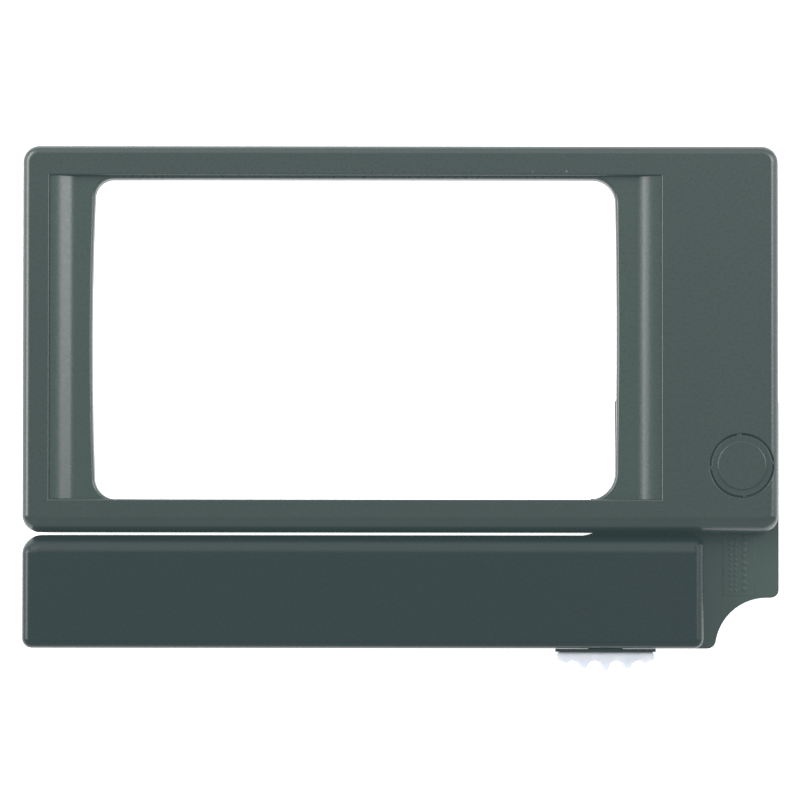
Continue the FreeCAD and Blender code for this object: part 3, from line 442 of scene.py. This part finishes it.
def widen_rounding(shape, box, corners, growth, side):
    """Makes the face edge's rounding larger where the outline of the box faces the side.

    growth is how much larger the rounding gets there; it fades out round the corners."""
    slack = 0.02 * MM
    for vertex in shape.verts:
        depth, facing = beside_outline(vertex.co, box, corners)
        drop = box[1].z - vertex.co.z
        from_axis = math.hypot(EDGE_ROUND - depth, EDGE_ROUND - drop)
        if max(depth, drop) > EDGE_ROUND + slack or abs(from_axis - EDGE_ROUND) > slack:
            continue
        turn = max(0.0, facing.dot(side))
        # A smooth step: nothing where the outline faces elsewhere, growth - 1 on the side.
        extra = (growth - 1) * turn * turn * (3 - 2 * turn)
        vertex.co.x -= side.x * depth * extra
        vertex.co.y -= side.y * depth * extra
        vertex.co.z -= drop * extra


# ---------------------------------------------------------------- the carrier's pieces

FRAME_CORNER = 2.9 * MM
HANDLE_CORNER = 1.7 * MM
HANDLE_INNER_CORNER = 3.3 * MM


def make_frame_cover(plastic):
    """The frame's shell, with a larger rounding on the side that faces the handle."""
    low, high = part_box("frame_cover")
    cover = cad_copy("frame_cover")
    corners = {(x, y): FRAME_CORNER for x in (-1, 1) for y in (-1, 1)}
    widen_rounding(cover, (low, high), corners, growth=2.0, side=Vector((0, -1)))
    under_walls = 1 * MM
    under_face = 0.5 * MM

    def cover_weight(edge):
        """The edges inside the hollow shell stay square."""
        inside = all(low.x + under_walls < vertex.co.x < high.x - under_walls
                     and low.y + under_walls < vertex.co.y < high.y - under_walls
                     and vertex.co.z < high.z - under_face for vertex in edge.verts)
        return 0.0 if inside else 1.0

    finish_piece("frame_cover", cover, 0.12 * MM, plastic, "housing", weigh=cover_weight)


def make_handle_cover(plastic):
    """The handle's shell, with a larger rounding on the side that faces the frame."""
    cover = cad_copy("handle_cover")
    corners = {(x, y): HANDLE_CORNER for x in (-1, 1) for y in (-1, 1)}
    corners[(-1, 1)] = HANDLE_INNER_CORNER
    widen_rounding(cover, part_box("handle_cover"), corners, growth=2.3, side=Vector((0, 1)))
    finish_piece("handle_cover", cover, 0.15 * MM, plastic, "housing")


def make_handle_base(plastic):
    """The base plate; its face is at the foot of the thrust washer."""
    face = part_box("thrust_washer")[0].z
    level = 0.02 * MM
    short = 13 * MM

    def base_weight(edge):
        """The short edges on the face stay crisp."""
        on_face = min(vertex.co.z for vertex in edge.verts) > face - level
        return 0.12 if on_face and edge.calc_length() < short else 1.0

    softened("handle_base", 0.25 * MM, plastic, "housing", weigh=base_weight)


def make_thumb_pad(plastic):
    """The scalloped pad, well rounded."""
    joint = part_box("thumb_pad")[1].y - 0.05 * MM

    def pad_weight(edge):
        """The pad stays almost square where it meets its carrier."""
        return 0.1 if min(vertex.co.y for vertex in edge.verts) > joint else 1.0

    softened("thumb_pad", 0.45 * MM, plastic, "thumb", segments=5, weigh=pad_weight)


# ---------------------------------------------------------------- the scene

make_camera()
make_floor()
make_lights()

FRAME_GREY = (0.0122, 0.0196, 0.0166)
# Painted shade: the handle's grey is darker than the frame's and stands in for the light that
# falls off towards the handle.
HANDLE_GREY = (0.0076, 0.0134, 0.0138)
# Each skin's last entry is its share of the painted glow, an even light the plastics give off
# though they are no lamps.
FRAME_SKIN = {"roughness": 0.28, "grain": 0.14, "gloss": 0.56, "painted_glow": 0.65}
HANDLE_SKIN = {"roughness": 0.28, "grain": 0.10, "gloss": 0.33, "painted_glow": 0.5}
BASE_SKIN = {"roughness": 0.32, "grain": 0.18, "gloss": 0.5, "painted_glow": 0.65}
frame_plastic = moulded_plastic("frame_plastic", FRAME_GREY, **FRAME_SKIN)
# Painted light: the gate's plastic is made lighter than the frame's to make up for the shade
# on the recess floor.
gate_plastic = moulded_plastic("gate_plastic", tinted(FRAME_GREY, 1.3), **FRAME_SKIN)
handle_plastic = moulded_plastic("handle_plastic", HANDLE_GREY, **HANDLE_SKIN)
# Painted light: the base plate's plastic is made lighter than the frame's to make up for the
# shade the handle and frame throw on the low plate.
base_plastic = moulded_plastic("base_plastic", tinted(FRAME_GREY, 1.8), **BASE_SKIN)
thumb = thumb_plastic()
spring_steel = brushed_steel("spring_steel", (0.62, 0.62, 0.60), 0.28)
screw_steel = brushed_steel("screw_steel", (0.50, 0.50, 0.49), 0.32)
ivory = bearing_plastic()
rubber = foot_rubber()

make_frame_cover(frame_plastic)
make_handle_cover(handle_plastic)
softened("film_gate", 0.10 * MM, gate_plastic, "housing")
softened("frame_back", 0.2 * MM, frame_plastic, "housing")
softened("slide_carrier", 0.06 * MM, handle_plastic, "housing")
softened("pivot_cap", 0.10 * MM, frame_plastic, "housing")
make_handle_base(base_plastic)
make_thumb_pad(thumb)
softened("frame_screws", 0.1 * MM, screw_steel, "steel")
softened("handle_screws", 0.1 * MM, screw_steel, "steel")
softened("pivot_post", 0.12 * MM, screw_steel, "steel")
softened("latch_bolt", 0.15 * MM, screw_steel, "steel")
softened("bolt_guide", 0.2 * MM, ivory, "bearing")
softened("frame_feet", 0.35 * MM, rubber, "foot")

# Nodes that keep their CAD meshes and get only a material.
FINISHES = {"film_spring_upper": spring_steel, "film_spring_lower": spring_steel,
            "slide_spring": spring_steel, "pivot_screw": screw_steel,
            "spring_washer": spring_steel, "bolt_pin": screw_steel,
            "latch_strike": screw_steel, "pivot_bush": ivory,
            "thrust_washer": ivory}
for node, material in FINISHES.items():
    data = frame["nodes"][node].data
    data.materials.clear()
    data.materials.append(material)
